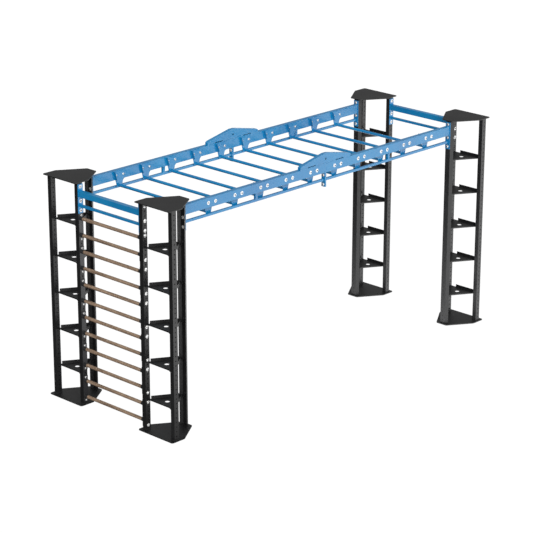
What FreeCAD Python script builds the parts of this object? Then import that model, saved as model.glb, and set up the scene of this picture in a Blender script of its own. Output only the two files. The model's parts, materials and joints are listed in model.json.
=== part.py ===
"""Free-standing monkey bars: four perforated steel towers with shelves, two spliced
overhead beams with ten hanging rungs, an end beam at each end and a climbing ladder."""
import FreeCAD
import Part
import math
import os

V = FreeCAD.Vector

# ---- whole frame (mm). Origin: centre of the footprint on the ground; +X towards the open
# end, the ladder is at -X, -Y is the near side, +Z is up.
overall_length = 4900.0
tower_spacing = 1360.0
overall_height = 2400.0
working_gap = 2.0

# ---- tower plates: six-sided, wide at the outer end and narrow at the nose
plate_width = 500.0
plate_shoulder = 170.0
plate_depth = 445.0
plate_nose_width = 140.0
plate_corner_radius = 20.0
base_plate_thickness = 10.0
top_plate_thickness = 8.0
anchor_hole_diameter = 18.0
anchor_spacing_x = 178.0
anchor_spacing_y = 364.0
anchor_first_x = 25.0

# ---- legs: two rectangular tubes at the outer end, one flared channel at the nose
outer_leg_depth = 60.0
outer_leg_width = 50.0
outer_leg_wall = 4.0
outer_leg_inset_x = 50.0
outer_leg_inset_y = 19.0
inner_leg_web = 66.0
inner_leg_flare = 41.0
inner_leg_sheet = 4.0
inner_leg_skin = 1.0
inner_leg_inset = 21.0
inner_leg_flare_angle = 31.4

# ---- hole columns in the legs
hole_pitch = 50.0
first_hole_height = 50.0
last_hole_margin = 40.0

# ---- M12 fasteners
bolt_diameter = 12.0
bolt_clearance = 1.0
bolt_head_diameter = 24.0
bolt_head_height = 7.0
bolt_socket_flats = 8.0
bolt_socket_depth = 4.0
bolt_tail = 4.0
wide_washer_diameter = 36.0
washer_diameter = 24.0
washer_thickness = 3.0
nut_flats = 19.0
nut_height = 10.0

# ---- shelves: three-sided trays with two raised lips and one open side
shelf_first_hole = 6
shelf_hole_steps = 8
shelf_bolt_rise = 20.0
shelf_sheet = 4.0
shelf_centre_share = 0.2765
shelf_lip_share = 0.3325
shelf_open_share = 0.244
shelf_lip_height = 30.0
shelf_open_flange = 14.0
shelf_lip_leg_gap = 14.0
shelf_lip_nose_gap = 48.0
shelf_lip_corner_gap = 73.0
shelf_drain_diameter = 48.0
shelf_tab_width = 40.0
shelf_screw_diameter = 8.0
shelf_screw_clearance = 1.0
shelf_screw_head_diameter = 16.0
shelf_screw_head_height = 4.0
insert_clearance = 0.2
insert_length = 12.0

# ---- long beams: upper tube, lower rail, struts, bolted end plates and splice flanges
beam_height = 100.0
beam_width = 50.0
beam_wall = 3.0
beam_below_bolt = 20.0
rail_size = 25.0
rail_wall = 2.0
strut_width = 30.0
end_plate_width = 65.0
end_plate_thickness = 6.0
end_plate_upper_edge = 25.0
end_plate_lower_edge = 30.0
splice_flange_thickness = 10.0
splice_flange_edge = 25.0

# ---- end beams, across the frame
end_beam_height = 60.0
end_beam_below_bolt = 45.0

# ---- gussets over the splices
gusset_sheet = 3.0
gusset_depth = 38.0
gusset_rung_gap = 169.0
gusset_end_rise = 30.0
gusset_shoulder_rise = 42.0
gusset_shoulder_run = 22.0
gusset_peak_rise = 110.0
gusset_peak_flat = 30.0
gusset_slot_share = 0.32
gusset_slot_height = 8.0
gusset_slot_centre_share = 0.557
gusset_slot_rise = 8.0
gusset_eye_diameter = 20.0
gusset_eye_rise = 49.0
gusset_dot_diameter = 6.0
gusset_dot_count = 7
gusset_dot_spread = 0.55

# ---- overhead rungs and the brackets that carry them
rung_count = 10
rung_first_inset = 791.5
rung_diameter = 32.0
rung_wall = 3.0
bracket_sheet = 4.0
bracket_top_half = 78.0
bracket_bottom_half = 32.0
bracket_top_gap = 7.0
bracket_toe = 4.0
bracket_flange = 26.0
bracket_fillet = 16.0
bracket_washer_diameter = 38.0
bracket_bolt_spacing = 98.0

# ---- ladder at the -X end
ladder_bolt_steps = 5
ladder_module_steps = 7
ladder_rung_drop = 35.0
ladder_rung_diameter = 36.0
ladder_ferrule_wall = 2.0
ladder_ferrule_length = 32.0
ladder_ferrule_clearance = 0.3
ladder_bracket_sheet = 6.0
ladder_bracket_width = 58.0

# ---- worked-out sizes and places
hole_diameter = bolt_diameter + bolt_clearance
shelf_screw_hole = shelf_screw_diameter + shelf_screw_clearance
ladder_ferrule_bore = ladder_rung_diameter + 2 * ladder_ferrule_clearance
ladder_ferrule_diameter = ladder_ferrule_bore + 2 * ladder_ferrule_wall
leg_bottom = base_plate_thickness
leg_top = overall_height - top_plate_thickness
leg_hole_count = int((leg_top - last_hole_margin - first_hole_height) / hole_pitch) + 1
top_bolt = leg_hole_count - 1
upper_steps = math.ceil((beam_height + beam_below_bolt + wide_washer_diameter / 2 + working_gap) / hole_pitch)
middle_bolt = top_bolt - upper_steps
low_bolt = middle_bolt - 2
ladder_top_bolt = low_bolt - 1
ladder_module_count = (ladder_top_bolt - ladder_bolt_steps) // ladder_module_steps + 1
shelf_count = (top_bolt - shelf_first_hole) // shelf_hole_steps
top_bolt_height = first_hole_height + top_bolt * hole_pitch
beam_top = top_bolt_height - beam_below_bolt
beam_bottom = beam_top - beam_height
beam_centre = beam_top - beam_height / 2
rail_centre = first_hole_height + (middle_bolt - 1) * hole_pitch
rung_height = rail_centre + rung_diameter / 2
end_beam_top = top_bolt_height - end_beam_below_bolt
outer_leg_face_y = plate_width / 2 - outer_leg_inset_y
outer_leg_back_y = outer_leg_face_y - outer_leg_width
outer_leg_hole_x = outer_leg_inset_x + outer_leg_depth / 2
inner_leg_face_x = plate_depth - inner_leg_inset
inner_leg_back_x = inner_leg_face_x - inner_leg_sheet
beam_end_x = overall_length / 2 - inner_leg_face_x - end_plate_thickness
end_beam_half = tower_spacing / 2 - outer_leg_face_y
beam_inner_y = tower_spacing / 2 - beam_width / 2
beam_outer_y = tower_spacing / 2 + beam_width / 2
ladder_x = -overall_length / 2 + outer_leg_hole_x
rung_pitch = (overall_length - 2 * rung_first_inset) / (rung_count - 1)
gusset_half_length = 1.5 * rung_pitch - gusset_rung_gap
shelf_span = inner_leg_back_x - outer_leg_hole_x
shelf_centre_x = outer_leg_hole_x + shelf_centre_share * shelf_span
shelf_tab_height = shelf_bolt_rise + hole_pitch - wide_washer_diameter / 2 - working_gap
ladder_rung_pitch = ladder_module_steps * hole_pitch / 2
ladder_bracket_edge = hole_pitch - end_plate_lower_edge - working_gap


def hole_height(index):
    return first_hole_height + index * hole_pitch


# ---- plain shapes

def box(x0, x1, y0, y1, z0, z1):
    return Part.makeBox(x1 - x0, y1 - y0, z1 - z0, V(x0, y0, z0))


def rod(point, axis, diameter, length):
    return Part.makeCylinder(diameter / 2, length, V(*point), V(*axis))


def hexagon(point, axis, flats, length):
    """A hexagonal bar from point along axis, measured across its flats."""
    radius = flats / 2 / math.cos(math.pi / 6)
    turns = [math.radians(60 * i) for i in range(6)]
    corners = [V(radius * math.cos(turn), radius * math.sin(turn), 0) for turn in turns]
    bar = Part.Face(Part.makePolygon(corners + corners[:1])).extrude(V(0, 0, length))
    bar.Placement = FreeCAD.Placement(V(*point), FreeCAD.Rotation(V(0, 0, 1), V(*axis)))
    return bar


def prism(points, low, high):
    """A vertical prism on a plan outline."""
    corners = [V(x, y, low) for x, y in points]
    return Part.Face(Part.makePolygon(corners + corners[:1])).extrude(V(0, 0, high - low))


def side_prism(points, y0, y1):
    """A prism along Y on an outline in X and Z."""
    corners = [V(x, y0, z) for x, z in points]
    return Part.Face(Part.makePolygon(corners + corners[:1])).extrude(V(0, y1 - y0, 0))


def joined(shapes):
    return shapes[0].multiFuse(shapes[1:]).removeSplitter()


def drilled(shape, drills):
    return shape.cut(Part.makeCompound(drills)) if drills else shape


def mirrored_x(shape):
    return shape.mirror(V(0, 0, 0), V(1, 0, 0))


def mirrored_y(shape):
    return shape.mirror(V(0, 0, 0), V(0, 1, 0))


def square_tube(x0, x1, y0, y1, z0, z1, wall, axis):
    outer = box(x0, x1, y0, y1, z0, z1)
    if axis == "x":
        return outer.cut(box(x0, x1, y0 + wall, y1 - wall, z0 + wall, z1 - wall))
    return outer.cut(box(x0 + wall, x1 - wall, y0, y1, z0 + wall, z1 - wall))


# ---- tower pieces, in the tower's own frame: x runs from the plates' outer edge inwards,
# y = 0 is the tower's middle line

def tower_plate(low, thickness):
    half = plate_width / 2
    nose = plate_nose_width / 2
    outline = [(0, -half), (plate_shoulder, -half), (plate_depth, -nose),
               (plate_depth, nose), (plate_shoulder, half), (0, half)]
    plate = prism(outline, low, low + thickness)
    upright = [e for e in plate.Edges if abs(e.Vertexes[0].Z - e.Vertexes[-1].Z) > thickness / 2]
    return plate.makeFillet(plate_corner_radius, upright)


def base_plate():
    drills = []
    for x in (anchor_first_x, anchor_first_x + anchor_spacing_x):
        for y in (-anchor_spacing_y / 2, anchor_spacing_y / 2):
            drills.append(rod((x, y, 0), (0, 0, 1), anchor_hole_diameter, base_plate_thickness))
    return drilled(tower_plate(0, base_plate_thickness), drills)


def outer_leg():
    """The rectangular tube on the +y side, drilled right through along y."""
    x0 = outer_leg_inset_x
    x1 = x0 + outer_leg_depth
    wall = outer_leg_wall
    leg = box(x0, x1, outer_leg_back_y, outer_leg_face_y, leg_bottom, leg_top)
    core = box(x0 + wall, x1 - wall, outer_leg_back_y + wall, outer_leg_face_y - wall, leg_bottom, leg_top)
    drills = [rod((outer_leg_hole_x, outer_leg_back_y, hole_height(i)), (0, 1, 0), hole_diameter,
                  outer_leg_width) for i in range(leg_hole_count)]
    return drilled(leg.cut(core), drills)


def inner_leg():
    """The open channel at the nose: a web across the tower and two flanges that flare outwards.
    Its holes are knock-outs, closed by a thin skin except where a bolt or screw goes through."""
    angle = math.radians(inner_leg_flare_angle)
    along = (-math.cos(angle), math.sin(angle))
    across = (-math.sin(angle), -math.cos(angle))
    sheet = inner_leg_sheet
    corner = (inner_leg_face_x, inner_leg_web / 2)
    tip = (corner[0] + along[0] * inner_leg_flare, corner[1] + along[1] * inner_leg_flare)
    tip_in = (tip[0] + across[0] * sheet, tip[1] + across[1] * sheet)
    reach = (sheet + across[0] * sheet) / -along[0]
    corner_in = (corner[0] + across[0] * sheet + along[0] * reach,
                 corner[1] + across[1] * sheet + along[1] * reach)
    upper = [corner, tip, tip_in, corner_in]
    lower = [(x, -y) for x, y in reversed(upper)]
    leg = prism(upper + lower, leg_bottom, leg_top)
    start = (corner[0] + along[0] * inner_leg_flare / 2 + across[0] * sheet,
             corner[1] + along[1] * inner_leg_flare / 2 + across[1] * sheet)
    punched = end_plate_holes() + shelf_holes()
    depth = sheet - inner_leg_skin
    drills = []
    for index in range(leg_hole_count):
        z = hole_height(index)
        web_depth = sheet if index in punched else depth
        drills.append(rod((inner_leg_face_x, 0, z), (-1, 0, 0), hole_diameter, web_depth))
        for side in (1, -1):
            drills.append(rod((start[0], side * start[1], z), (-across[0], -side * across[1], 0),
                              hole_diameter, depth))
    return drilled(leg, drills)


# ---- shelves

def shelf_sides(open_side):
    """Each side as its outward direction and its distance from the shelf's centre."""
    slope = math.radians(90 - inner_leg_flare_angle)
    directions = {"outer": (-1.0, 0.0), "plus": (math.cos(slope), math.sin(slope)),
                  "minus": (math.cos(slope), -math.sin(slope))}
    shares = {name: shelf_open_share if name == open_side else shelf_lip_share for name in directions}
    return {name: (directions[name], shares[name] * shelf_span) for name in directions}


def crossing(first, second):
    """Where two shelf sides meet in plan."""
    (a, b), p = first
    (c, d), q = second
    spread = a * d - b * c
    return (shelf_centre_x + (p * d - b * q) / spread, (a * q - p * c) / spread)


def side_ends(sides, name):
    return [crossing(sides[name], sides[other]) for other in sides if other != name]


def side_strip(sides, name, low, high, corner=False):
    """An upright strip along one side, kept clear of the legs, and of the +y corner if that is asked."""
    (dx, dy), _ = sides[name]
    (ax, ay), (bx, by) = side_ends(sides, name)
    back_x = dx * shelf_sheet
    back_y = dy * shelf_sheet
    strip = prism([(ax, ay), (bx, by), (bx - back_x, by - back_y), (ax - back_x, ay - back_y)], low, high)
    lowest_y = shelf_lip_leg_gap - outer_leg_back_y
    highest_y = outer_leg_back_y - (shelf_lip_corner_gap if corner else shelf_lip_leg_gap)
    reach_x = inner_leg_back_x - shelf_lip_nose_gap
    return strip.common(box(0, reach_x, lowest_y, highest_y, low, high))


def shelf_tray(sides, floor):
    low = floor - shelf_sheet
    corners = [crossing(sides["outer"], sides["plus"]), crossing(sides["plus"], sides["minus"]),
               crossing(sides["minus"], sides["outer"])]
    reach_y = outer_leg_back_y - shelf_sheet
    reach_x = inner_leg_back_x - shelf_sheet
    return prism(corners, low, floor).common(box(0, reach_x, -reach_y, reach_y, low, floor))


def outer_arm(side, floor, hole):
    """A strip from the tray to an outer leg, ending in an upright tab."""
    low = floor - shelf_sheet
    back = outer_leg_back_y
    x0 = outer_leg_hole_x - shelf_tab_width / 2
    x1 = outer_leg_hole_x + shelf_tab_width / 2
    root = back - 2 * shelf_tab_width
    strip = prism([(x0, side * back), (x1, side * back), (x1 + shelf_tab_width, side * root),
                   (x0 + shelf_tab_width, side * root), (x0, side * (back - shelf_tab_width / 2))], low, floor)
    y0, y1 = sorted((side * (back - shelf_sheet), side * back))
    tab = box(x0, x1, y0, y1, low, floor + shelf_tab_height)
    drill = rod((outer_leg_hole_x, y0, floor + shelf_bolt_rise), (0, 1, 0), hole, shelf_sheet)
    return [strip, tab.cut(drill)]


def nose_arm(floor):
    """A strip from the tray to the inner leg's web, ending in an upright tab."""
    half = shelf_tab_width / 2
    low = floor - shelf_sheet
    back = inner_leg_back_x
    strip = box(shelf_centre_x + shelf_drain_diameter / 2, back, -half, half, low, floor)
    tab = box(back - shelf_sheet, back, -half, half, low, floor + shelf_tab_height)
    drill = rod((back - shelf_sheet, 0, floor + shelf_bolt_rise), (1, 0, 0), shelf_screw_hole, shelf_sheet)
    return [strip, tab.cut(drill)]


def shelf(hole, open_side, shared_sides):
    """One shelf; a shared side carries a ladder bolt through its tab in place of a screw."""
    sides = shelf_sides(open_side)
    floor = hole_height(hole) - shelf_bolt_rise
    low = floor - shelf_sheet
    pieces = [shelf_tray(sides, floor)] + nose_arm(floor)
    for side in (1, -1):
        pieces += outer_arm(side, floor, hole_diameter if side in shared_sides else shelf_screw_hole)
    for name in sides:
        if name == open_side:
            pieces.append(side_strip(sides, name, floor - shelf_open_flange, floor))
        else:
            pieces.append(side_strip(sides, name, low, floor + shelf_lip_height, name == "outer"))
    drain = rod((shelf_centre_x, 0, low), (0, 0, 1), shelf_drain_diameter, shelf_sheet)
    return joined(pieces).cut(drain)


def shelf_holes():
    """The leg holes that the shelves hang from, by number."""
    return [shelf_first_hole + i * shelf_hole_steps for i in range(shelf_count)]


def shelf_screw(point, axis):
    """A low-headed screw; point is where its head meets the tab."""
    head = rod(moved(point, axis, -shelf_screw_head_height), axis, shelf_screw_head_diameter,
               shelf_screw_head_height)
    return head.fuse(rod(point, axis, shelf_screw_diameter, shelf_sheet + insert_length))


def shelf_insert(point, axis):
    """A threaded sleeve set in a leg hole behind a tab."""
    sleeve = rod(point, axis, hole_diameter - 2 * insert_clearance, insert_length)
    return sleeve.cut(rod(point, axis, shelf_screw_diameter, insert_length))


def shelf_fixings(shared, shared_side):
    """Screws and inserts at every tab that no ladder bolt passes through."""
    places = []
    for hole in shelf_holes():
        z = hole_height(hole)
        places.append(((inner_leg_back_x, 0, z), (1, 0, 0)))
        for side in (1, -1):
            if not (hole in shared and side == shared_side):
                places.append(((outer_leg_hole_x, side * outer_leg_back_y, z), (0, side, 0)))
    screws = [shelf_screw(moved(point, axis, -shelf_sheet), axis) for point, axis in places]
    inserts = [shelf_insert(point, axis) for point, axis in places]
    return screws, inserts


# ---- beams, modelled for the near side at the ladder end

def rung_places():
    return [(i - (rung_count - 1) / 2) * rung_pitch for i in range(rung_count)]


def bracket_bolt_places():
    return [x + side * bracket_bolt_spacing / 2 for x in rung_places() for side in (-1, 1)]


def half_beam_tube():
    """The upper tube of a half beam, drilled for the rung brackets."""
    tube = square_tube(-beam_end_x, -splice_flange_thickness, -beam_outer_y, -beam_inner_y,
                       beam_bottom, beam_top, beam_wall, "x")
    drills = [rod((x, -beam_outer_y, beam_centre), (0, 1, 0), hole_diameter, beam_width)
              for x in bracket_bolt_places() if x < 0]
    return drilled(tube, drills)


def half_rail():
    """The lower rail of a half beam with the strut that ties it to the tube."""
    y0 = -tower_spacing / 2 - rail_size / 2
    y1 = y0 + rail_size
    top = rail_centre + rail_size / 2
    rail = square_tube(-beam_end_x, -splice_flange_thickness, y0, y1, top - rail_size, top, rail_wall, "x")
    middle = -(beam_end_x + splice_flange_thickness) / 2
    strut = box(middle - strut_width / 2, middle + strut_width / 2, y0, y1, top, beam_bottom)
    return joined([rail, strut])


def end_plate_holes():
    return [top_bolt, middle_bolt, low_bolt]


def end_plate_heights():
    return [hole_height(index) for index in end_plate_holes()]


def beam_end_plate():
    """The plate at the beam's end, against the inner leg's web."""
    heights = end_plate_heights()
    x0 = -beam_end_x - end_plate_thickness
    y = -tower_spacing / 2
    plate = box(x0, x0 + end_plate_thickness, y - end_plate_width / 2, y + end_plate_width / 2,
                heights[-1] - end_plate_lower_edge, heights[0] + end_plate_upper_edge)
    return drilled(plate, [rod((x0, y, z), (1, 0, 0), hole_diameter, end_plate_thickness) for z in heights])


def end_beam_plate():
    """The plate at the end beam's near end, against the outer leg."""
    heights = end_plate_heights()
    y0 = -end_beam_half
    plate = box(ladder_x - end_plate_width / 2, ladder_x + end_plate_width / 2, y0, y0 + end_plate_thickness,
                heights[-1] - end_plate_lower_edge, heights[0] + end_plate_upper_edge)
    return drilled(plate, [rod((ladder_x, y0, z), (0, 1, 0), hole_diameter, end_plate_thickness)
                           for z in heights])


def splice_bolt_heights():
    return end_plate_heights()[1:]


def splice_flange():
    y = -tower_spacing / 2
    x0 = -splice_flange_thickness
    plate = box(x0, 0, y - beam_width / 2, y + beam_width / 2,
                splice_bolt_heights()[-1] - splice_flange_edge, beam_top)
    return drilled(plate, [rod((x0, y, z), (1, 0, 0), hole_diameter, splice_flange_thickness)
                           for z in splice_bolt_heights()])


def end_beam_tube():
    half = end_beam_half - end_plate_thickness
    return square_tube(ladder_x - beam_width / 2, ladder_x + beam_width / 2, -half, half,
                       end_beam_top - end_beam_height, end_beam_top, beam_wall, "y")


def end_bar():
    half = end_beam_half - end_plate_thickness
    return square_tube(ladder_x - rail_size / 2, ladder_x + rail_size / 2, -half, half,
                       rail_centre - rail_size / 2, rail_centre + rail_size / 2, rail_wall, "y")


def gusset_outline(inset):
    """The gable that stands on the beam over the splice, moved in all round by inset."""
    half = gusset_half_length - inset
    shoulder = gusset_half_length - gusset_shoulder_run
    right = [(gusset_peak_flat, beam_top + gusset_peak_rise - inset),
             (shoulder, beam_top + gusset_shoulder_rise - inset),
             (half, beam_top + gusset_end_rise - inset), (half, beam_top + inset)]
    left = [(-x, z) for x, z in reversed(right)]
    return left + right


def gusset():
    """The near gusset: a hollow sheet box, flush with the beam's outer side, with slots and dots in
    its front wall and an eye right through it."""
    y0 = -beam_outer_y
    y1 = y0 + gusset_depth
    plate = side_prism(gusset_outline(0), y0, y1)
    plate = plate.cut(side_prism(gusset_outline(gusset_sheet), y0 + gusset_sheet, y1 - gusset_sheet))
    drills = []
    z = beam_top + gusset_slot_rise
    slot_half = (gusset_slot_share * gusset_half_length - gusset_slot_height) / 2
    for side in (-1, 1):
        x = side * gusset_slot_centre_share * gusset_half_length
        drills.append(box(x - slot_half, x + slot_half, y0, y0 + gusset_sheet, z - gusset_slot_height / 2,
                          z + gusset_slot_height / 2))
        drills.append(rod((x - slot_half, y0, z), (0, 1, 0), gusset_slot_height, gusset_sheet))
        drills.append(rod((x + slot_half, y0, z), (0, 1, 0), gusset_slot_height, gusset_sheet))
    drills.append(rod((0, y0, beam_top + gusset_eye_rise), (0, 1, 0), gusset_eye_diameter, gusset_depth))
    dot_step = gusset_dot_spread * gusset_half_length / (gusset_dot_count - 1)
    for i in range(gusset_dot_count):
        x = (i - (gusset_dot_count - 1) / 2) * dot_step
        drills.append(rod((x, y0, z), (0, 1, 0), gusset_dot_diameter, gusset_sheet))
    for drill in drills:
        plate = plate.cut(drill)
    return plate


# ---- overhead rungs

def overhead_rung(x):
    half = beam_inner_y - bracket_sheet
    rung = rod((x, -half, rung_height), (0, 1, 0), rung_diameter, 2 * half)
    return rung.cut(rod((x, -half, rung_height), (0, 1, 0), rung_diameter - 2 * rung_wall, 2 * half))


def rung_bracket(x):
    """A near-side bracket: a tapered plate on the beam's inner face, with a flange turned inwards
    down its -x edge and a small web that widens its +x edge at the beam's underside."""
    top = beam_top - bracket_top_gap
    low = rung_height - rung_diameter / 2 - bracket_toe
    y = -beam_inner_y
    slope = (bracket_top_half - bracket_bottom_half) / (top - low)
    outline = [(-bracket_bottom_half, low), (bracket_bottom_half, low),
               (bracket_top_half, top), (-bracket_top_half, top)]
    plate = side_prism(outline, y, y + bracket_sheet)
    shoulder = bracket_bottom_half + slope * (beam_bottom - low)
    thick = bracket_sheet * math.hypot(1, slope)
    edge = [(-shoulder, beam_bottom), (thick - shoulder, beam_bottom),
            (thick - bracket_top_half, top), (-bracket_top_half, top)]
    flange = side_prism(edge, y, y + bracket_sheet + bracket_flange)
    web = side_prism([(shoulder, beam_bottom), (shoulder - slope * bracket_fillet, beam_bottom - bracket_fillet),
                      (shoulder + bracket_fillet, beam_bottom + bracket_sheet),
                      (shoulder, beam_bottom + bracket_sheet)], y, y + bracket_sheet)
    drills = [rod((side * bracket_bolt_spacing / 2, y, beam_centre), (0, 1, 0), hole_diameter,
                  bracket_sheet) for side in (-1, 1)]
    bracket = drilled(joined([plate, flange, web]), drills)
    bracket.translate(V(x, 0, 0))
    return bracket


# ---- ladder

def ladder_bolt_holes():
    """The upper and the lower leg hole of each pair of ladder brackets."""
    uppers = [ladder_top_bolt - module * ladder_module_steps for module in range(ladder_module_count)]
    return [(upper, upper - ladder_bolt_steps) for upper in uppers]


def ladder_rung_heights():
    top = hole_height(ladder_top_bolt) - ladder_rung_drop
    return [top - i * ladder_rung_pitch for i in range(2 * ladder_module_count)]


def ladder_rung(z):
    half = end_beam_half - ladder_bracket_sheet
    return rod((ladder_x, -half, z), (0, 1, 0), ladder_rung_diameter, 2 * half)


def ladder_ferrule(z):
    start = (ladder_x, -end_beam_half + ladder_bracket_sheet, z)
    collar = rod(start, (0, 1, 0), ladder_ferrule_diameter, ladder_ferrule_length)
    return collar.cut(rod(start, (0, 1, 0), ladder_ferrule_bore, ladder_ferrule_length))


def ladder_bracket(upper, lower):
    y0 = -end_beam_half
    half = ladder_bracket_width / 2
    plate = box(ladder_x - half, ladder_x + half, y0, y0 + ladder_bracket_sheet,
                hole_height(lower) - ladder_bracket_edge, hole_height(upper) + ladder_bracket_edge)
    return drilled(plate, [rod((ladder_x, y0, hole_height(hole)), (0, 1, 0), hole_diameter,
                               ladder_bracket_sheet) for hole in (upper, lower)])


def shared_holes():
    """Leg holes that carry both a ladder bolt and a shelf tab."""
    bolts = [hole for pair in ladder_bolt_holes() for hole in pair]
    return [hole for hole in shelf_holes() if hole in bolts]


# ---- fasteners

def moved(point, axis, distance):
    return tuple(p + a * distance for p, a in zip(point, axis))


def washer(point, axis, diameter):
    ring = rod(point, axis, diameter, washer_thickness)
    return ring.cut(rod(point, axis, hole_diameter, washer_thickness))


def bolt(point, axis, grip):
    """A button-head bolt; point is where its washer meets the work."""
    under_head = moved(point, axis, -washer_thickness)
    crown = moved(under_head, axis, -bolt_head_height)
    shank = grip + 2 * washer_thickness + nut_height + bolt_tail
    head = rod(crown, axis, bolt_head_diameter, bolt_head_height)
    head = head.cut(hexagon(crown, axis, bolt_socket_flats, bolt_socket_depth))
    return head.fuse(rod(under_head, axis, bolt_diameter, shank))


def nut(point, axis):
    return hexagon(point, axis, nut_flats, nut_height).cut(rod(point, axis, bolt_diameter, nut_height))


def fixing(kind, point, axis, grip, head_washer, nut_washer):
    """Bolt, two washers and nut clamping a stack of the given grip."""
    far = moved(point, axis, grip)
    rings = [washer(moved(point, axis, -washer_thickness), axis, head_washer),
             washer(far, axis, nut_washer)]
    return {"kind": kind, "bolt": bolt(point, axis, grip), "washers": rings,
            "nut": nut(moved(far, axis, washer_thickness), axis)}


def bracket_fixings():
    return [fixing("long_bolts", (x, -beam_outer_y, beam_centre), (0, 1, 0), beam_width + bracket_sheet,
                   bracket_washer_diameter, washer_diameter) for x in bracket_bolt_places()]


def end_plate_fixings():
    fixings = []
    for z in end_plate_heights():
        for side in (-1, 1):
            fixings.append(fixing("short_bolts", (side * beam_end_x, -tower_spacing / 2, z), (side, 0, 0),
                                  end_plate_thickness + inner_leg_sheet, wide_washer_diameter,
                                  wide_washer_diameter))
            fixings.append(fixing("long_bolts", (side * ladder_x, -end_beam_half + end_plate_thickness, z),
                                  (0, -1, 0), end_plate_thickness + outer_leg_width, wide_washer_diameter,
                                  wide_washer_diameter))
    return fixings


def splice_fixings():
    start = (-splice_flange_thickness, -tower_spacing / 2)
    return [fixing("short_bolts", start + (z,), (1, 0, 0), 2 * splice_flange_thickness,
                   wide_washer_diameter, wide_washer_diameter) for z in splice_bolt_heights()]


def ladder_fixings():
    shared = shared_holes()
    fixings = []
    for hole in [hole for pair in ladder_bolt_holes() for hole in pair]:
        tab = shelf_sheet if hole in shared else 0.0
        start = (ladder_x, -end_beam_half + ladder_bracket_sheet, hole_height(hole))
        fixings.append(fixing("long_bolts", start, (0, -1, 0), ladder_bracket_sheet + outer_leg_width + tab,
                              washer_diameter, wide_washer_diameter))
    return fixings


# ---- assembly

def tower_placed(shape, end, side):
    """Moves a tower piece to its corner; end is -1 at the ladder, side is -1 on the near side."""
    placed = shape.copy()
    placed.translate(V(-overall_length / 2, 0, 0))
    if end > 0:
        placed = mirrored_x(placed)
    placed.translate(V(0, side * tower_spacing / 2, 0))
    return placed


def save(name, shapes):
    solids = [solid for shape in shapes for solid in shape.Solids]
    body = solids[0] if len(solids) == 1 else Part.makeCompound(solids)
    body.exportStep(os.path.join("parts", name + ".step"))
    print(name, len(solids), "solids", all(solid.isValid() for solid in solids))


def save_towers():
    plus_leg = outer_leg()
    pieces = {"base_plate": base_plate(), "top_plate": tower_plate(leg_top, top_plate_thickness),
              "outer_leg_plus": plus_leg, "outer_leg_minus": mirrored_y(plus_leg), "inner_leg": inner_leg()}
    screws = []
    inserts = []
    for end, end_name, open_side in ((-1, "ladder", "outer"), (1, "open", "minus")):
        shared = shared_holes() if end < 0 else []
        for side, side_name in ((-1, "near"), (1, "far")):
            tower = end_name + "_" + side_name + "_"
            for name, shape in pieces.items():
                save(tower + name, [tower_placed(shape, end, side)])
            shelves = [shelf(hole, open_side, [-side] if hole in shared else [])
                       for hole in shelf_holes()]
            save(tower + "shelves", [tower_placed(shape, end, side) for shape in shelves])
            tower_screws, tower_inserts = shelf_fixings(shared, -side)
            screws += [tower_placed(shape, end, side) for shape in tower_screws]
            inserts += [tower_placed(shape, end, side) for shape in tower_inserts]
    save("shelf_screws", screws)
    save("shelf_inserts", inserts)


def four_corners(shape):
    """The shape at the ladder's near corner and its three mirror images, with their names."""
    open_end = mirrored_x(shape)
    return {"ladder_near": shape, "ladder_far": mirrored_y(shape),
            "open_near": open_end, "open_far": mirrored_y(open_end)}


def save_beams():
    for corner, shape in four_corners(half_beam_tube()).items():
        save("beam_tube_" + corner, [shape])
    for corner, shape in four_corners(half_rail()).items():
        save("beam_rail_" + corner, [shape])
    plates = [shape for plate in (beam_end_plate(), end_beam_plate())
              for shape in four_corners(plate).values()]
    save("beam_end_plates", plates)
    save("beam_splice_flanges", list(four_corners(splice_flange()).values()))
    save("end_beam_ladder", [end_beam_tube()])
    save("end_beam_open", [mirrored_x(end_beam_tube())])
    save("end_bars", [end_bar(), mirrored_x(end_bar())])
    far_gusset = gusset()
    far_gusset.translate(V(0, tower_spacing, 0))
    save("gusset_near", [gusset()])
    save("gusset_far", [far_gusset])


def save_rungs():
    for number, x in enumerate(rung_places(), start=1):
        save("overhead_rung_%02d" % number, [overhead_rung(x)])
    brackets = [rung_bracket(x) for x in rung_places()]
    save("rung_brackets_near", brackets)
    save("rung_brackets_far", [mirrored_y(bracket) for bracket in brackets])


def save_ladder():
    heights = ladder_rung_heights()
    ferrules = [ladder_ferrule(z) for z in heights]
    brackets = [ladder_bracket(upper, lower) for upper, lower in ladder_bolt_holes()]
    save("ladder_rungs", [ladder_rung(z) for z in heights])
    save("ladder_ferrules", ferrules + [mirrored_y(ferrule) for ferrule in ferrules])
    save("ladder_brackets", brackets + [mirrored_y(bracket) for bracket in brackets])


def save_fasteners():
    near = bracket_fixings() + end_plate_fixings() + splice_fixings() + ladder_fixings()
    groups = {"long_bolts": [f["bolt"] for f in near if f["kind"] == "long_bolts"],
              "short_bolts": [f["bolt"] for f in near if f["kind"] == "short_bolts"],
              "washers": [ring for f in near for ring in f["washers"]],
              "nuts": [f["nut"] for f in near]}
    for name, shapes in groups.items():
        save(name, shapes + [mirrored_y(shape) for shape in shapes])


os.makedirs("parts", exist_ok=True)
save_towers()
save_beams()
save_rungs()
save_ladder()
save_fasteners()
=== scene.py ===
import bpy
import bmesh
import json
import math
from mathutils import Matrix, Vector


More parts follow.
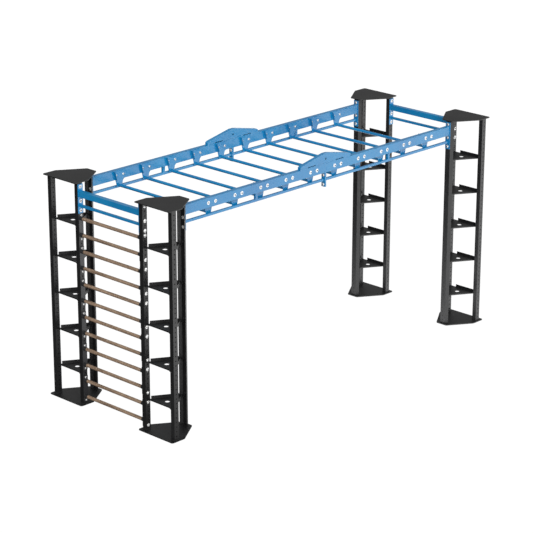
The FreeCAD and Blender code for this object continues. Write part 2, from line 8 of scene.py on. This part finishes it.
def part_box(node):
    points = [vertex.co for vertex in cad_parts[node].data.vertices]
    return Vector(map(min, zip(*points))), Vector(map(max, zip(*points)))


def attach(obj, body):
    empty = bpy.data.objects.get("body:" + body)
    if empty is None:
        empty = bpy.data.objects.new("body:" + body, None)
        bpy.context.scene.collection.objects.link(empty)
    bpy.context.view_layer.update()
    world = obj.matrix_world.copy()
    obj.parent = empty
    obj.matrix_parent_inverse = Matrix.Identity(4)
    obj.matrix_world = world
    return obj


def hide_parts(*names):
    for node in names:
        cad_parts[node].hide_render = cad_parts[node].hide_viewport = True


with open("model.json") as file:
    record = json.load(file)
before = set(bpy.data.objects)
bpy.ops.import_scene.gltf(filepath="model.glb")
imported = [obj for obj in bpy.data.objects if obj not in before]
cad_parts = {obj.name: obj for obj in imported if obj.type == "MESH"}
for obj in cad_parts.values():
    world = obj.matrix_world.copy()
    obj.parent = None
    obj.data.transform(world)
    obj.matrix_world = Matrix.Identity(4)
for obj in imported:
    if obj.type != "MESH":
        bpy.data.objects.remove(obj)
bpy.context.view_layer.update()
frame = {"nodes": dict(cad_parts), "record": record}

nodes = frame["nodes"]
scene = bpy.context.scene


def deselectAll():
    for item in bpy.context.selected_objects:
        item.select_set(False)
    bpy.context.view_layer.objects.active = None


# Small helpers for shapes

facing = 0.9          # how squarely a face looks along an axis to be picked
samePlace = 1e-5      # metres
onAxis = 1e-4         # metres
keyDigits = 5


def roundKey(point):
    return tuple(round(value, keyDigits) for value in point)


def looseSolids(nodeName):
    # the separate solids of a frame node, each as a list of its corner points
    mesh = nodes[nodeName].data
    keys = [roundKey(vertex.co) for vertex in mesh.vertices]
    parent = {key: key for key in keys}

    def rootOf(key):
        while parent[key] != key:
            parent[key] = parent[parent[key]]
            key = parent[key]
        return key

    for polygon in mesh.polygons:
        first = rootOf(keys[polygon.vertices[0]])
        for index in polygon.vertices[1:]:
            parent[rootOf(keys[index])] = first
    groups = {}
    for key in parent:
        groups.setdefault(rootOf(key), []).append(Vector(key))
    return [groups[key] for key in sorted(groups)]


def pickFaces(test):
    # in edit mode: selects the faces whose centre and normal pass the test, and nothing else
    bpy.ops.mesh.select_mode(type="FACE")
    bpy.ops.mesh.select_all(action="DESELECT")
    editing = bmesh.from_edit_mesh(bpy.context.object.data)
    for face in editing.faces:
        face.select_set(test(face.calc_center_median(), face.normal))
    bmesh.update_edit_mesh(bpy.context.object.data)


def pickVertices(test):
    bpy.ops.mesh.select_mode(type="VERT")
    bpy.ops.mesh.select_all(action="DESELECT")
    editing = bmesh.from_edit_mesh(bpy.context.object.data)
    for vertex in editing.verts:
        vertex.select_set(test(vertex.co))
    bmesh.update_edit_mesh(bpy.context.object.data)


def extrudeUp(height, scale=1.0):
    bpy.ops.mesh.extrude_region_move(TRANSFORM_OT_translate={"value": (0, 0, height)})
    if scale != 1.0:
        bpy.ops.transform.resize(value=(scale, scale, 1), center_override=(0, 0, 0))


def darkFaces():
    # a zinc piece whose picked faces, such as a socket and a shank's tip, are black; the black in a socket is
    # painted shade in its recess
    for material in (finishes["zinc"], finishes["black_hardware"]):
        bpy.context.object.data.materials.append(material)
    bpy.context.object.active_material_index = 1
    bpy.ops.object.material_slot_assign()


def joinedCopies(master, places, name):
    # one copy of the master's mesh at each place, all joined into one piece
    copies = []
    for place in places:
        mesh = master.data.copy()
        mesh.transform(place)
        copy = bpy.data.objects.new(name, mesh)
        scene.collection.objects.link(copy)
        copies.append(copy)
    bpy.data.objects.remove(master)
    return joinedPieces(copies, name)


def joinedPieces(pieces, name):
    deselectAll()
    for piece in pieces:
        piece.select_set(True)
    bpy.context.view_layer.objects.active = pieces[0]
    bpy.ops.object.join()
    piece = bpy.context.object
    piece.name = name
    piece.data.name = name
    return piece


def finishPiece(piece, slotName, nodeNames=()):
    if not piece.data.materials:
        piece.data.materials.append(finishes[slotName])
    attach(piece, "root")
    if nodeNames:
        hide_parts(*nodeNames)


# Small helpers for node trees

def newMaterial(name):
    material = bpy.data.materials.new(name)
    material.use_nodes = True
    tree = material.node_tree
    return material, tree, tree.nodes["Principled BSDF"]


def addNode(tree, kind, settings=None, inputs=None):
    node = tree.nodes.new(kind)
    for key, value in (settings or {}).items():
        setattr(node, key, value)
    for key, value in (inputs or {}).items():
        if isinstance(value, bpy.types.NodeSocket):
            tree.links.new(value, node.inputs[key])
        else:
            node.inputs[key].default_value = value
    return node


def patternSpace(tree, scale=(1, 1, 1)):
    coords = addNode(tree, "ShaderNodeTexCoord")
    mapping = addNode(tree, "ShaderNodeMapping", inputs={
        "Vector": coords.outputs["Object"], "Scale": scale})
    return mapping.outputs["Vector"]


def noise(tree, vector, scale, detail=3.0, roughness=0.5):
    node = addNode(tree, "ShaderNodeTexNoise", inputs={
        "Vector": vector, "Scale": scale, "Detail": detail, "Roughness": roughness})
    return node.outputs["Fac"]


def remap(tree, value, span, result=(0.0, 1.0)):
    # as value goes from the first to the second of span, what comes out goes across result
    node = addNode(tree, "ShaderNodeMapRange", inputs={
        "Value": value, "From Min": span[0], "From Max": span[1],
        "To Min": result[0], "To Max": result[1]})
    return node.outputs["Result"]


def times(tree, first, second):
    return addNode(tree, "ShaderNodeMath", {"operation": "MULTIPLY"}, {0: first, 1: second}).outputs[0]


def plus(tree, first, second):
    return addNode(tree, "ShaderNodeMath", {"operation": "ADD"}, {0: first, 1: second}).outputs[0]


def rgba(colour):
    return (colour[0], colour[1], colour[2], 1.0)


def blendColour(tree, factor, first, second):
    # first and second are colours or the outcome of an earlier blend
    first, second = [rgba(side) if isinstance(side, tuple) else side for side in (first, second)]
    node = addNode(tree, "ShaderNodeMix", {"data_type": "RGBA"}, {0: factor, 6: first, 7: second})
    return node.outputs[2]


def edgeMask(tree, look):
    # 0 on the flats, rising to 1 on the outside edges, and the normal that softens those edges
    bevel = addNode(tree, "ShaderNodeBevel", {"samples": 6}, {"Radius": look["edgeRadius"]})
    surface = addNode(tree, "ShaderNodeNewGeometry")
    dot = addNode(tree, "ShaderNodeVectorMath", {"operation": "DOT_PRODUCT"}, {
        0: bevel.outputs["Normal"], 1: surface.outputs["Normal"]})
    return remap(tree, dot.outputs["Value"], (1.0, 1.0 - look["edgeTurn"])), bevel.outputs["Normal"]


def linkColour(tree, shader, base):
    tree.links.new(base, shader.inputs["Base Color"])


def linkRoughness(tree, shader, look, value):
    tree.links.new(remap(tree, value, look["roughSpan"], look["rough"]), shader.inputs["Roughness"])


def linkGrain(tree, shader, look, height, normal=None):
    inputs = {"Strength": look["grainStrength"], "Distance": look["grainDepth"], "Height": height}
    if normal is not None:
        inputs["Normal"] = normal
    bump = addNode(tree, "ShaderNodeBump", inputs=inputs)
    tree.links.new(bump.outputs["Normal"], shader.inputs["Normal"])


# Finishes: sizes are noise scales, spans are the part of a noise that is used

towerCoat = {
    "colour": (0.006, 0.006, 0.0065), "lighter": (0.011, 0.011, 0.0115),
    "cloudSize": 3.2, "cloudSpan": (0.3, 0.7),
    "dust": (0.040, 0.039, 0.036), "speckSize": 160, "speckSpan": (0.62, 0.8), "dustShare": 0.5,
    "worn": (0.16, 0.16, 0.155), "chipSize": 55, "chipSpan": (0.5, 0.68), "wornShare": 0.7,
    "edgeRadius": 0.0022, "edgeTurn": 0.35, "speckRough": 0.4, "roughSpan": (0.4, 1.0), "rough": (0.42, 0.58),
    "grainSize": 520, "rippleSize": 90, "rippleShare": 0.8, "grainStrength": 0.22, "grainDepth": 0.0006,
    "specular": 0.5,
}


def makeTowerCoat(look):
    material, tree, shader = newMaterial("towerCoat")
    space = patternSpace(tree)
    cloud = noise(tree, space, look["cloudSize"], detail=4.0, roughness=0.55)
    speck = noise(tree, space, look["speckSize"], detail=2.0, roughness=0.6)
    edge, softNormal = edgeMask(tree, look)
    patch = noise(tree, space, look["chipSize"], detail=5.0, roughness=0.7)
    chip = times(tree, edge, remap(tree, patch, look["chipSpan"]))
    base = blendColour(tree, remap(tree, cloud, look["cloudSpan"]), look["colour"], look["lighter"])
    dusty = remap(tree, speck, look["speckSpan"], (0.0, look["dustShare"]))
    base = blendColour(tree, dusty, base, look["dust"])
    base = blendColour(tree, times(tree, chip, look["wornShare"]), base, look["worn"])
    linkColour(tree, shader, base)
    linkRoughness(tree, shader, look, plus(tree, cloud, times(tree, speck, look["speckRough"])))
    ripple = times(tree, noise(tree, space, look["rippleSize"]), look["rippleShare"])
    grain = noise(tree, space, look["grainSize"], detail=2.0)
    linkGrain(tree, shader, look, plus(tree, grain, ripple), softNormal)
    shader.inputs["Specular IOR Level"].default_value = look["specular"]
    return material


beamPaint = {
    "colour": (0.001, 0.178, 0.430), "lighter": (0.004, 0.240, 0.510),
    "cloudSize": 2.1, "cloudSpan": (0.3, 0.7),
    "worn": (0.15, 0.36, 0.58), "streakScale": (1.5, 1.5, 14), "streakSize": 6, "streakSpan": (0.55, 0.8),
    "streakShare": 0.22, "rubSize": 40, "rubSpan": (0.4, 0.65), "rubbed": (0.15, 0.8), "rubShare": 0.55,
    "edgeRadius": 0.0025, "edgeTurn": 0.4, "streakRough": 0.5, "roughSpan": (0.4, 1.1), "rough": (0.24, 0.36),
    "grainSize": 260, "grainStrength": 0.16, "grainDepth": 0.0006, "gloss": 0.25, "glossRoughness": 0.18,
}


def makeBeamPaint(look):
    material, tree, shader = newMaterial("beamPaint")
    space = patternSpace(tree)
    cloud = noise(tree, space, look["cloudSize"], detail=4.0, roughness=0.55)
    streakSpace = patternSpace(tree, look["streakScale"])
    streak = noise(tree, streakSpace, look["streakSize"], detail=4.0, roughness=0.6)
    edge, softNormal = edgeMask(tree, look)
    patch = noise(tree, space, look["rubSize"], detail=5.0, roughness=0.7)
    rub = times(tree, edge, remap(tree, patch, look["rubSpan"], look["rubbed"]))
    base = blendColour(tree, remap(tree, cloud, look["cloudSpan"]), look["colour"], look["lighter"])
    faded = remap(tree, streak, look["streakSpan"], (0.0, look["streakShare"]))
    base = blendColour(tree, faded, base, look["worn"])
    base = blendColour(tree, times(tree, rub, look["rubShare"]), base, look["worn"])
    linkColour(tree, shader, base)
    linkRoughness(tree, shader, look, plus(tree, cloud, times(tree, streak, look["streakRough"])))
    grain = noise(tree, space, look["grainSize"], detail=2.0, roughness=0.45)
    linkGrain(tree, shader, look, grain, softNormal)
    shader.inputs["Coat Weight"].default_value = look["gloss"]
    shader.inputs["Coat Roughness"].default_value = look["glossRoughness"]
    return material


brightZinc = {
    "colour": (0.80, 0.81, 0.82), "warm": (0.82, 0.78, 0.70), "cloudSize": 45, "warmSpan": (0.4, 0.75),
    "warmShare": 0.7, "dull": (0.56, 0.57, 0.58), "spangleSize": 170, "spangleSpan": (0.3, 0.9),
    "dullShare": 0.45,
    "roughSpan": (0.3, 0.7), "rough": (0.24, 0.42), "metallic": 0.55,
    "grainSize": 900, "grainStrength": 0.15, "grainDepth": 0.0004,
}


def makeBrightZinc(look):
    material, tree, shader = newMaterial("brightZinc")
    space = patternSpace(tree)
    cells = addNode(tree, "ShaderNodeTexVoronoi", inputs={"Vector": space, "Scale": look["spangleSize"]})
    cloud = noise(tree, space, look["cloudSize"], detail=4.0, roughness=0.6)
    warmth = remap(tree, cloud, look["warmSpan"], (0.0, look["warmShare"]))
    base = blendColour(tree, warmth, look["colour"], look["warm"])
    spangle = remap(tree, cells.outputs["Distance"], look["spangleSpan"], (0.0, look["dullShare"]))
    base = blendColour(tree, spangle, base, look["dull"])
    linkColour(tree, shader, base)
    linkRoughness(tree, shader, look, cloud)
    shader.inputs["Metallic"].default_value = look["metallic"]
    linkGrain(tree, shader, look, noise(tree, space, look["grainSize"], roughness=0.6))
    return material


rungWood = {
    "colour": (0.35, 0.235, 0.155), "dark": (0.13, 0.08, 0.05),
    "grainScale": (60, 3.2, 60), "grainSpan": (0.36, 0.66),
    "pale": (0.62, 0.50, 0.37), "speckScale": (150, 45, 150), "speckSpan": (0.52, 0.72), "speckShare": 0.85,
    "poreScale": (420, 10, 420), "poreSpan": (0.60, 0.74), "poreShare": 0.6, "poreHeight": 0.7,
    "roughSpan": (0.3, 0.7), "rough": (0.62, 0.42), "grainStrength": 0.35, "grainDepth": 0.0008,
}


def makeRungWood(look):
    # the rungs lie along Y, so the patterns are long that way
    material, tree, shader = newMaterial("rungWood")
    grain = noise(tree, patternSpace(tree, look["grainScale"]), 1.0, detail=6.0, roughness=0.62)
    pores = noise(tree, patternSpace(tree, look["poreScale"]), 1.0, detail=3.0, roughness=0.6)
    speck = noise(tree, patternSpace(tree, look["speckScale"]), 1.0, detail=4.0, roughness=0.7)
    base = blendColour(tree, remap(tree, grain, look["grainSpan"]), look["dark"], look["colour"])
    specked = remap(tree, speck, look["speckSpan"], (0.0, look["speckShare"]))
    base = blendColour(tree, specked, base, look["pale"])
    pored = remap(tree, pores, look["poreSpan"], (0.0, look["poreShare"]))
    base = blendColour(tree, pored, base, look["dark"])
    linkColour(tree, shader, base)
    linkRoughness(tree, shader, look, grain)
    linkGrain(tree, shader, look, plus(tree, grain, times(tree, pores, look["poreHeight"])))
    return material


mouldedBlack = {
    "colour": (0.018, 0.018, 0.019), "scuffed": (0.055, 0.054, 0.052),
    "scuffSize": 70, "scuffSpan": (0.5, 0.75), "scuffShare": 0.8,
    "roughSpan": (0.3, 0.7), "rough": (0.5, 0.68),
    "grainSize": 700, "grainStrength": 0.3, "grainDepth": 0.0005,
}


def makeMouldedBlack(look):
    material, tree, shader = newMaterial("mouldedBlack")
    space = patternSpace(tree)
    scuff = noise(tree, space, look["scuffSize"], detail=5.0, roughness=0.7)
    scuffed = remap(tree, scuff, look["scuffSpan"], (0.0, look["scuffShare"]))
    linkColour(tree, shader, blendColour(tree, scuffed, look["colour"], look["scuffed"]))
    linkRoughness(tree, shader, look, scuff)
    linkGrain(tree, shader, look, noise(tree, space, look["grainSize"], detail=2.0))
    return material


blackSteel = {
    "colour": (0.022, 0.022, 0.024), "worn": (0.22, 0.22, 0.22), "patchSize": 85, "patchSpan": (0.4, 0.65),
    "rubbed": (0.1, 0.8), "edgeRadius": 0.0015, "edgeTurn": 0.4,
    "roughSpan": (0.3, 0.7), "rough": (0.34, 0.5),
    "grainSize": 400, "grainStrength": 0.2, "grainDepth": 0.0005,
}


def makeBlackSteel(look):
    material, tree, shader = newMaterial("blackSteel")
    space = patternSpace(tree)
    edge, softNormal = edgeMask(tree, look)
    patch = noise(tree, space, look["patchSize"], detail=5.0, roughness=0.7)
    rub = times(tree, edge, remap(tree, patch, look["patchSpan"], look["rubbed"]))
    linkColour(tree, shader, blendColour(tree, rub, look["colour"], look["worn"]))
    linkRoughness(tree, shader, look, patch)
    linkGrain(tree, shader, look, noise(tree, space, look["grainSize"], detail=2.0), softNormal)
    return material


finishes = {
    "black_coat": makeTowerCoat(towerCoat),
    "blue_coat": makeBeamPaint(beamPaint),
    "zinc": makeBrightZinc(brightZinc),
    "wood_grain": makeRungWood(rungWood),
    "black_plastic": makeMouldedBlack(mouldedBlack),
    "black_hardware": makeBlackSteel(blackSteel),
}

slotOf = {row["node"]: row["material_slot"] for row in frame["record"]["subparts"]}
for nodeName, item in nodes.items():
    item.data.materials.clear()
    item.data.materials.append(finishes[slotOf[nodeName]])
print("finishes: put on", len(nodes), "frame nodes")


# Button-head bolts

boltLook = {
    "sides": 12, "rimShare": 0.35, "crownShare": 0.4, "crownScale": 0.92, "topScale": 0.86,
    "socketShare": 0.66, "socketDepthShare": 0.6, "chamfer": 0.0015, "slack": 1.02, "smoothAngle": 50,
}


def boltFacts(points):
    # the axis from head to tip, the head's top point, and the sizes of one bolt of the frame
    low = [min(point[i] for point in points) for i in range(3)]
    high = [max(point[i] for point in points) for i in range(3)]
    spans = [high[i] - low[i] for i in range(3)]
    along = spans.index(max(spans))
    centre = Vector([(low[i] + high[i]) / 2 for i in range(3)])

    def reach(point):
        offset = point - centre
        offset[along] = 0
        return offset.length

    headShare = 0.95     # of the widest reach, past which a point is on the head's rim
    headRadius = max(reach(point) for point in points)
    wide = [point[along] for point in points if reach(point) > headShare * headRadius]
    atHigh = sum(wide) / len(wide) > centre[along]
    tip = [point for point in points if abs(point[along] - (low if atHigh else high)[along]) < onAxis]
    head = centre.copy()
    head[along] = (high if atHigh else low)[along]
    axis = Vector((0, 0, 0))
    axis[along] = -1 if atHigh else 1
    return {"head": head, "axis": axis, "headRadius": headRadius, "headHeight": max(wide) - min(wide),
            "shankRadius": max(reach(point) for point in tip), "length": spans[along]}


def makeBolt(look, facts):
    # stands on the origin with its head's top at z = 0 and its tip pointing down
    radius = facts["headRadius"]
    height = facts["headHeight"]
    shank = facts["shankRadius"]
    length = facts["length"]
    chamfer = look["chamfer"]
    rim = height * look["rimShare"]
    crown = height * look["crownShare"]
    deselectAll()
    bpy.ops.mesh.primitive_cylinder_add(
        vertices=look["sides"], radius=radius, depth=rim, location=(0, 0, -height + rim / 2))
    bolt = bpy.context.object
    bpy.ops.object.transform_apply()
    bpy.ops.object.mode_set(mode="EDIT")
    pickFaces(lambda centre, normal: normal.z > facing)
    extrudeUp(crown, look["crownScale"])
    extrudeUp(height - rim - crown, look["topScale"])
    topRadius = radius * look["crownScale"] * look["topScale"]
    socketRadius = radius * look["socketShare"]
    socketReach = socketRadius * look["slack"]
    bpy.ops.mesh.inset(thickness=topRadius - socketRadius)
    # every second corner of the inset is drawn in, which makes the round socket a hexagon
    side = 2 * math.pi / look["sides"]
    pickVertices(lambda point: abs(point.z) < samePlace and point.xy.length < socketReach
                 and round(math.atan2(point.y, point.x) / side) % 2 == 1)
    flatShare = math.cos(math.pi / 6)
    bpy.ops.transform.resize(value=(flatShare, flatShare, 1), center_override=(0, 0, 0))
    pickFaces(lambda centre, normal: normal.z > facing and centre.xy.length < onAxis
              and abs(centre.z) < samePlace)
    extrudeUp(-height * look["socketDepthShare"])
    pickFaces(lambda centre, normal: normal.z < -facing)
    bpy.ops.mesh.inset(thickness=radius - shank)
    extrudeUp(-(length - height - chamfer))
    extrudeUp(-chamfer, 1 - chamfer / shank)
    # the socket's walls and floor are made black as painted shade in the recess, and the tip's faces are made
    # black too
    pickFaces(lambda centre, normal: centre.z < -length + 2 * chamfer
              or (centre.xy.length < socketReach and -height < centre.z < -samePlace))
    darkFaces()
    bpy.ops.object.mode_set(mode="OBJECT")
    bpy.ops.object.shade_smooth_by_angle(angle=math.radians(look["smoothAngle"]))
    return bolt


def turned(axis, sideways, place):
    # the placing that takes +Z to axis and +X to sideways
    across = axis.cross(sideways)
    turn = Matrix((sideways, across, axis)).transposed().to_4x4()
    return Matrix.Translation(place) @ turn


def makeBolts(look, nodeName, pieceName):
    kinds = {}
    for points in looseSolids(nodeName):
        facts = boltFacts(points)
        kinds.setdefault(round(facts["length"], 4), []).append(facts)
    pieces = []
    for length, group in sorted(kinds.items()):
        places = [turned(-facts["axis"], Vector((0, 0, 1)), facts["head"]) for facts in group]
        pieces.append(joinedCopies(makeBolt(look, group[0]), places, pieceName))
    piece = joinedPieces(pieces, pieceName)
    finishPiece(piece, "zinc", [nodeName])
    print("bolts:", pieceName, "of", len(kinds), "lengths")


makeBolts(boltLook, "long_bolts", "longButtonBolts")
makeBolts(boltLook, "short_bolts", "shortButtonBolts")


# Nuts

nutLook = {"chamfer": 0.0009, "boreShare": 0.545, "smoothAngle": 30}     # the bore as a share across flats


def nutFacts(points):
    low = Vector([min(point[i] for point in points) for i in range(3)])
    high = Vector([max(point[i] for point in points) for i in range(3)])
    spans = high - low
    along = list(spans).index(min(spans))
    centre = (low + high) / 2
    offsets = []
    for point in points:
        offset = point - centre
        offset[along] = 0
        offsets.append(offset)
    corner = max(offsets, key=lambda offset: round(offset.length, keyDigits))
    axis = Vector((0, 0, 0))
    axis[along] = 1
    return {"centre": centre, "axis": axis, "corner": corner, "height": spans[along]}


def makeNut(look, facts):
    radius = facts["corner"].length
    height = facts["height"]
    deselectAll()
    bpy.ops.mesh.primitive_cylinder_add(vertices=6, radius=radius, depth=height, location=(0, 0, 0))
    nut = bpy.context.object
    bpy.ops.object.mode_set(mode="EDIT")
    bpy.ops.mesh.select_all(action="SELECT")
    # a cylinder's first corner is on +Y, and the placing wants it on +X
    bpy.ops.transform.rotate(value=math.pi / 2, orient_axis="Z", center_override=(0, 0, 0))
    pickFaces(lambda centre, normal: abs(normal.z) > facing)
    bpy.ops.mesh.region_to_loop()
    bpy.ops.mesh.bevel(offset=look["chamfer"], segments=1, affect="EDGES")
    pickFaces(lambda centre, normal: abs(normal.z) > facing and centre.xy.length < onAxis)
    flatRadius = radius * math.cos(math.pi / 6)
    wall = flatRadius * (1 - look["boreShare"])
    bpy.ops.mesh.inset(thickness=wall - look["chamfer"], use_individual=True)
    bpy.ops.mesh.bridge_edge_loops()
    bpy.ops.object.mode_set(mode="OBJECT")
    bpy.ops.object.shade_smooth_by_angle(angle=math.radians(look["smoothAngle"]))
    return nut


def makeNuts(look):
    group = [nutFacts(points) for points in looseSolids("nuts")]
    places = [turned(facts["axis"], facts["corner"].normalized(), facts["centre"]) for facts in group]
    piece = joinedCopies(makeNut(look, group[0]), places, "hexNuts")
    finishPiece(piece, "zinc", ["nuts"])
    print("nuts:", len(group))


makeNuts(nutLook)


# Weld beads round the outer legs' feet and heads

beadLook = {"reach": 0.005, "widthShare": 1.5, "cuts": 9, "waver": 0.0006, "smoothAngle": 70}


def makeBead(look, halfX, halfY, upward):
    # a sloping fillet round a rectangle, on z = 0, with the ripple of hand welding
    reach = look["reach"]
    outerX = halfX + reach
    outerY = halfY + reach
    deselectAll()
    bpy.ops.mesh.primitive_cube_add(size=1, location=(0, 0, 0))
    bead = bpy.context.object
    bpy.ops.object.mode_set(mode="EDIT")
    bpy.ops.mesh.select_all(action="SELECT")
    bpy.ops.transform.resize(value=(2 * outerX, 2 * outerY, reach), center_override=(0, 0, 0))
    bpy.ops.transform.translate(value=(0, 0, upward * reach / 2))
    pickFaces(lambda centre, normal: normal.z * upward > facing)
    bpy.ops.transform.resize(value=(halfX / outerX, halfY / outerY, 1), center_override=(0, 0, 0))
    # the middle is taken out, which leaves a ring
    pickFaces(lambda centre, normal: abs(normal.z) > facing)
    bpy.ops.mesh.inset(thickness=reach * look["widthShare"], use_individual=True)
    bpy.ops.mesh.bridge_edge_loops()
    bpy.ops.mesh.select_all(action="SELECT")
    bpy.ops.mesh.subdivide(number_cuts=look["cuts"])
    bpy.ops.transform.vertex_random(offset=look["waver"], uniform=0.0, normal=0.0, seed=4)
    # what the ripple pushed past the plate is put back on it
    pickVertices(lambda point: point.z * upward < 0)
    bpy.ops.transform.resize(value=(1, 1, 0), center_override=(0, 0, 0))
    bpy.ops.mesh.select_all(action="SELECT")
    bpy.ops.mesh.normals_make_consistent(inside=False)
    bpy.ops.object.mode_set(mode="OBJECT")
    bpy.ops.object.shade_smooth_by_angle(angle=math.radians(look["smoothAngle"]))
    return bead


def makeBeads(look):
    legs = sorted(name for name in nodes if "outer_leg" in name)
    low, high = [Vector(corner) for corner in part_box(legs[0])]
    half = (high - low) / 2
    beads = []
    for upward, end in ((1, 0), (-1, 1)):     # the feet, then the heads
        places = []
        for name in legs:
            corners = [Vector(corner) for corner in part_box(name)]
            middle = (corners[0] + corners[1]) / 2
            places.append(Matrix.Translation((middle.x, middle.y, corners[end].z)))
        beads.append(joinedCopies(makeBead(look, half.x, half.y, upward), places, "legWeldBeads"))
    finishPiece(joinedPieces(beads, "legWeldBeads"), "black_coat")
    print("weld beads:", len(legs) * 2)


makeBeads(beadLook)


# Floor, light and camera

white = (1, 1, 1, 1)

floorLook = {
    "size": 160.0, "colour": (0.86, 0.86, 0.86), "bounce": (0.45, 0.45, 0.45), "roughness": 0.9,
    "glow": 0.9, "glowStrength": 1.08,
    "mirrorBright": 2.5, "mirrorDim": 0.04, "mirrorSpan": 1.5, "mirrorTowards": (0.7, -0.7, 0.0),
}


def makeFloor(look):
    deselectAll()
    bpy.ops.mesh.primitive_plane_add(size=look["size"], location=(0, 0, 0))
    floor = bpy.context.object
    floor.name = "studioFloor"
    material, tree, shader = newMaterial("paleFloor")
    path = addNode(tree, "ShaderNodeLightPath")
    seen = path.outputs["Is Camera Ray"]
    linkColour(tree, shader, blendColour(tree, seen, look["bounce"], look["colour"]))
    shader.inputs["Roughness"].default_value = look["roughness"]
    shader.inputs["Specular IOR Level"].default_value = 0.0
    glow = addNode(tree, "ShaderNodeEmission", inputs={"Color": white, "Strength": look["glowStrength"]})
    mix = addNode(tree, "ShaderNodeMixShader", inputs={
        0: times(tree, seen, look["glow"]), 1: shader.outputs[0], 2: glow.outputs[0]})
    # in reflections the floor is a bright card on the near and open side, and dark on the other side
    place = addNode(tree, "ShaderNodeTexCoord").outputs["Object"]
    towards = addNode(tree, "ShaderNodeVectorMath", {"operation": "DOT_PRODUCT"}, {
        0: place, 1: look["mirrorTowards"]})
    bright = remap(tree, towards.outputs["Value"], (-look["mirrorSpan"], look["mirrorSpan"]),
                   (look["mirrorDim"], look["mirrorBright"]))
    card = addNode(tree, "ShaderNodeEmission", inputs={"Color": white, "Strength": bright})
    last = addNode(tree, "ShaderNodeMixShader", inputs={
        0: path.outputs["Is Glossy Ray"], 1: mix.outputs[0], 2: card.outputs[0]})
    tree.links.new(last.outputs[0], tree.nodes["Material Output"].inputs["Surface"])
    floor.data.materials.append(material)


studioLight = {
    "sky": 0.55, "skyInMirrors": 0.35,
    "keyFrom": (-0.50, -0.72, 0.48), "keyStrength": 2.3, "keySoftness": 40,
}


def makeLight(look):
    world = bpy.data.worlds.new("studioWorld")
    scene.world = world
    world.use_nodes = True
    tree = world.node_tree
    background = tree.nodes["Background"]
    path = addNode(tree, "ShaderNodeLightPath")
    lit = addNode(tree, "ShaderNodeMix", {"data_type": "FLOAT"}, {
        0: path.outputs["Is Glossy Ray"], 2: look["sky"], 3: look["skyInMirrors"]})
    strength = addNode(tree, "ShaderNodeMix", {"data_type": "FLOAT"}, {
        0: path.outputs["Is Camera Ray"], 2: lit.outputs[0], 3: 1.0})
    tree.links.new(strength.outputs[0], background.inputs["Strength"])
    background.inputs["Color"].default_value = white
    sun = bpy.data.lights.new("keyLight", "SUN")
    sun.energy = look["keyStrength"]
    sun.angle = math.radians(look["keySoftness"])
    holder = bpy.data.objects.new("keyLight", sun)
    holder.rotation_euler = Vector(look["keyFrom"]).to_track_quat("Z", "Y").to_euler()
    scene.collection.objects.link(holder)


cameraView = {
    "place": (-15.5747, -14.9236, 8.4680), "looks": (0.67929, 0.65743, -0.32613), "roll": 0.07,
    "lens": 142.66, "sensor": 36.0, "farthest": 200.0,
}


def makeCamera(view):
    data = bpy.data.cameras.new("viewCamera")
    data.sensor_width = view["sensor"]
    data.lens = view["lens"]
    data.clip_end = view["farthest"]
    holder = bpy.data.objects.new("viewCamera", data)
    turn = Vector(view["looks"]).to_track_quat("-Z", "Y").to_matrix().to_4x4()
    roll = Matrix.Rotation(math.radians(view["roll"]), 4, "Z")
    holder.matrix_world = Matrix.Translation(view["place"]) @ turn @ roll
    scene.collection.objects.link(holder)
    scene.camera = holder


makeFloor(floorLook)
makeLight(studioLight)
makeCamera(cameraView)
scene.view_settings.view_transform = "Standard"
print("studio: floor, light and camera ready")
